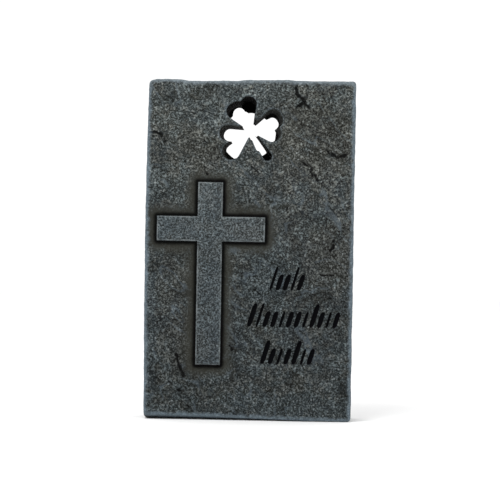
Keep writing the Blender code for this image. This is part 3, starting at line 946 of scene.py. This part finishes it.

    # Dry-brushed cross, and edges of the cross, the slab and the shamrock, with a painted highlight on the
    # top edge
    colour = lay(bench.times(on_cross, bench.ramp(grains, 0.0, 1.0, 0.06, 0.46)), colours.dry_brush, colour)
    cross_edge = bench.math("ABSOLUTE", bench.math("ADD", cross_gap, 0.5))
    cross_edge = band_along(cross_edge, Full=0.0, Gone=0.6, Raggedness=0.7, Scale=420.0)
    cross_edge = bench.times(cross_edge, bench.ramp(cloud(130.0), 0.35, 0.65, 0.12, 0.65))
    colour = lay(cross_edge, colours.edge_brush_and_highlight, colour)
    outer_edge = band_along(edge_gap, Full=0.6, Gone=3.4, Raggedness=4.5, Scale=330.0)
    outer_edge = bench.times(outer_edge, bench.ramp(grains, 0.0, 1.0, 0.58, 1.0))
    colour = lay(outer_edge, colours.outer_brush, colour)
    # Painted highlight: the rounded top edge made paler where light from above would catch it
    painted_top_highlight = bench.times(outer_edge, bench.ramp(height, *TOP_HIGHLIGHT_HEIGHTS, 0.0, 0.45))
    colour = lay(painted_top_highlight, colours.edge_brush_and_highlight, colour)
    rim_edge = band_along(rim_gap, Full=0.0, Gone=1.5, Raggedness=2.6, Scale=300.0)
    rim_edge = bench.times(rim_edge, bench.ramp(grains, 0.0, 1.0, 0.15, 0.7))
    rim_edge = bench.times(rim_edge, bench.ramp(hole_depth, 0.05, 0.02))
    colour = lay(rim_edge, colours.dry_brush, colour)

    # Painted shade inside the shamrock, deepening with depth from brown at the lip to near black; black paint
    # in the strokes
    colour = lay(bench.ramp(soot, 0.0, 0.03, 0.0, 0.85), colours.brown_wash_and_shade, colour)
    colour = lay(bench.ramp(soot, 0.01, 0.14, 0.0, 0.97), colours.crevice, colour)
    paint = band_along(stroke_gap, Full=0.1, Gone=0.3, Raggedness=0.35, Scale=900.0)
    colour = lay(paint, colours.paint, colour)

    relief = bench.math("ADD", bench.times(grains, 0.6), cloud(2600.0, 2.0, 0.6))
    relief = bench.times(relief, bench.math("SUBTRACT", 1.0, bench.times(paint, 0.7)))
    bump = bench.add("ShaderNodeBump", Strength=0.55, Distance=0.00016, Height=relief)
    shader = bench.add("ShaderNodeBsdfPrincipled", Base_Color=colour, Roughness=0.9)
    bench.feed(shader.inputs["Normal"], bump.outputs["Normal"])
    shader.inputs["Specular IOR Level"].default_value = SHINE
    end = bench.add("ShaderNodeOutputMaterial")
    tree.links.new(shader.outputs["BSDF"], end.inputs["Surface"])
    return material


def floor_finish(colour):
    """Plain pale studio floor with a faint unevenness."""
    material = bpy.data.materials.new("studio_floor")
    material.use_nodes = True
    tree = material.node_tree
    bench = NodeBench(tree)
    place = bench.add("ShaderNodeTexCoord").outputs["Object"]
    dull = tuple(0.97 * part for part in colour[:3]) + (1.0,)
    shade = bench.mix(bench.noise(place, 6.0), colour[:], dull)
    shader = tree.nodes["Principled BSDF"]
    tree.links.new(shade, shader.inputs["Base Color"])
    shader.inputs["Roughness"].default_value = 0.8
    return material


def colour_choice(name, description, default):
    return bpy.props.FloatVectorProperty(
        name=name, description=description, subtype="COLOR", size=4, min=0.0, max=1.0, default=default
    )


def length_choice(name, description, default):
    return bpy.props.FloatProperty(
        name=name, description=description, unit="LENGTH", min=0.0, default=default, precision=5
    )


class StoneSurface(bpy.types.PropertyGroup):
    terrace: length_choice("Flake step", "Height of the slate-like steps of the face", 0.00020)
    grit: length_choice("Grit", "Height of the casting's sandy grain", 0.00010)
    pits: length_choice("Pits", "Depth of the small pits", 0.0009)
    chips: length_choice("Edge wear", "How far the edges are worn in", 0.00034)


class StoneColours(bpy.types.PropertyGroup):
    ground_warm: colour_choice("Warm ground", "Brown-grey clouds", (0.0228, 0.0237, 0.0205, 1.0))
    ground_cool: colour_choice("Cool ground", "Blue-grey clouds", (0.024, 0.029, 0.031, 1.0))
    grain_cool: colour_choice("Cool grains", "Blue-green pale grains", (0.124, 0.145, 0.145, 1.0))
    grain_warm: colour_choice("Warm grains", "Grey pale grains", (0.127, 0.133, 0.122, 1.0))
    chip: colour_choice("Chips", "Small pale chips of stone", (0.230, 0.250, 0.245, 1.0))
    # Painted shade: multiplies the lower half darker, standing in for light falling off downward
    painted_foot_shade: colour_choice("Painted foot shade", "Darkening of the lower half", (0.68, 0.70, 0.73, 1.0))
    wash: colour_choice("Wash", "Dark toning that has settled in the hollows", (0.010, 0.010, 0.008, 1.0))
    # Brown wash around the cross, also used as painted shade at the shamrock's lip
    brown_wash_and_shade: colour_choice("Brown wash", "Smooth toning around the cross", (0.040, 0.040, 0.033, 1.0))
    # Pale dry-brush line of the cross's edges, also used as the painted highlight on the slab's top edge
    edge_brush_and_highlight: colour_choice("Cross edges", "Pale line along the cross's edges", (0.190, 0.210, 0.215, 1.0))
    outer_brush: colour_choice("Slab edges", "Blue-grey along the slab's edges", (0.124, 0.158, 0.184, 1.0))
    # Near-black of the wash in the cross's crevice and the cracks, and of the painted shade deep in the
    # shamrock
    crevice: colour_choice("Crevice", "Near-black of the deepest hollows", (0.0015, 0.0015, 0.0015, 1.0))
    dry_brush: colour_choice("Dry brushing", "Pale blue-grey on the worn edges", (0.108, 0.134, 0.152, 1.0))
    paint: colour_choice("Paint", "Black paint in the strokes", (0.0012, 0.0012, 0.0018, 1.0))


class StudioSetup(bpy.types.PropertyGroup):
    floor: colour_choice("Floor", "Colour of the plain floor", (0.93, 0.93, 0.93, 1.0))
    sky: bpy.props.FloatProperty(name="Sky", description="Strength of the even white light", default=1.08)
    key: bpy.props.FloatProperty(
        name="Key light", description="Power of the soft light from above", unit="POWER", default=9.0
    )
    distance: bpy.props.FloatProperty(
        name="Camera distance", description="From the camera to the slab's face", unit="LENGTH", default=1.10
    )
    lens: bpy.props.FloatProperty(
        name="Lens", description="Focal length on a 36 mm sensor", unit="CAMERA", default=134.7
    )
    roll: bpy.props.FloatProperty(
        name="Roll", description="Lean of the slab in the picture", unit="ROTATION", default=math.radians(1.0)
    )


class MEMORIAL_OT_casting(bpy.types.Operator):
    """Build the visible casting and its finish"""

    bl_idname = "memorial.casting"
    bl_label = "Casting"

    def execute(self, context):
        points, triangles, quads, masks = make_casting(context.scene.stone_surface)
        casting = put_mesh("memorial_casting", points, triangles, quads, masks)
        casting.data.materials.append(stone_finish(context.scene.stone_colours))
        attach(casting, "root")
        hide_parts("headstone")
        return {"FINISHED"}


def soft_light(name, place, target, size, power):
    """An area light that faces a target."""
    light = bpy.data.lights.new(name, "AREA")
    light.shape = "DISK"
    light.size = size
    light.energy = power
    lamp = bpy.data.objects.new(name, light)
    lamp.location = place
    lamp.rotation_euler = (Vector(target) - Vector(place)).to_track_quat("-Z", "Y").to_euler()
    bpy.context.scene.collection.objects.link(lamp)


class MEMORIAL_OT_studio(bpy.types.Operator):
    """Set up the floor, the soft light and the camera"""

    bl_idname = "memorial.studio"
    bl_label = "Studio"

    def execute(self, context):
        studio = context.scene.studio_setup
        bm = bmesh.new()
        bmesh.ops.create_grid(bm, x_segments=8, y_segments=8, size=3.0)
        mesh = bpy.data.meshes.new("studio_floor")
        bm.to_mesh(mesh)
        bm.free()
        mesh.materials.append(floor_finish(studio.floor))
        floor = bpy.data.objects.new("studio_floor", mesh)
        context.scene.collection.objects.link(floor)

        world = bpy.data.worlds.new("studio")
        world.use_nodes = True
        sky = world.node_tree.nodes.get("Background") or world.node_tree.nodes.new("ShaderNodeBackground")
        sky.inputs["Color"].default_value = (1.0, 1.0, 1.0, 1.0)
        sky.inputs["Strength"].default_value = studio.sky
        context.scene.world = world
        middle = (0.0, 0.0, SLAB_HEIGHT / 2)
        soft_light("key", (-0.45, -0.7, 1.1), middle, 0.7, studio.key)
        soft_light("fill", (0.8, -1.0, 0.5), middle, 0.9, studio.key / 5)
        context.scene.view_settings.view_transform = "Standard"

        camera = bpy.data.cameras.new("camera")
        camera.sensor_width = 36.0
        camera.lens = studio.lens
        camera.clip_start = 0.01
        eye = bpy.data.objects.new("camera", camera)
        look = Matrix.Rotation(math.pi / 2, 4, "X") @ Matrix.Rotation(studio.roll, 4, "Z")
        eye.matrix_world = Matrix.Translation((EYE_X, FRONT_Y - studio.distance, EYE_Z)) @ look
        context.scene.collection.objects.link(eye)
        context.scene.camera = eye
        return {"FINISHED"}


class MEMORIAL_PT_panel(bpy.types.Panel):
    """Sizes, colours and steps of the memorial slab"""

    bl_label = "Memorial slab"
    bl_idname = "MEMORIAL_PT_panel"
    bl_space_type = "VIEW_3D"
    bl_region_type = "UI"
    bl_category = "Memorial"

    def draw(self, context):
        for title, group in (
            ("Surface", context.scene.stone_surface), ("Colours", context.scene.stone_colours),
            ("Studio", context.scene.studio_setup),
        ):
            box = self.layout.box()
            box.label(text=title)
            for name in group.__annotations__:
                box.prop(group, name)
        self.layout.operator(MEMORIAL_OT_casting.bl_idname)
        self.layout.operator(MEMORIAL_OT_studio.bl_idname)


CLASSES = (
    StoneSurface, StoneColours, StudioSetup, MEMORIAL_OT_casting, MEMORIAL_OT_studio, MEMORIAL_PT_panel,
)


def register():
    for made in CLASSES:
        bpy.utils.register_class(made)
    bpy.types.Scene.stone_surface = bpy.props.PointerProperty(type=StoneSurface)
    bpy.types.Scene.stone_colours = bpy.props.PointerProperty(type=StoneColours)
    bpy.types.Scene.studio_setup = bpy.props.PointerProperty(type=StudioSetup)


def unregister():
    del bpy.types.Scene.studio_setup
    del bpy.types.Scene.stone_colours
    del bpy.types.Scene.stone_surface
    for made in reversed(CLASSES):
        bpy.utils.unregister_class(made)


def main():
    register()
    bpy.ops.memorial.casting()
    bpy.ops.memorial.studio()


if __name__ == "__main__":
    main()
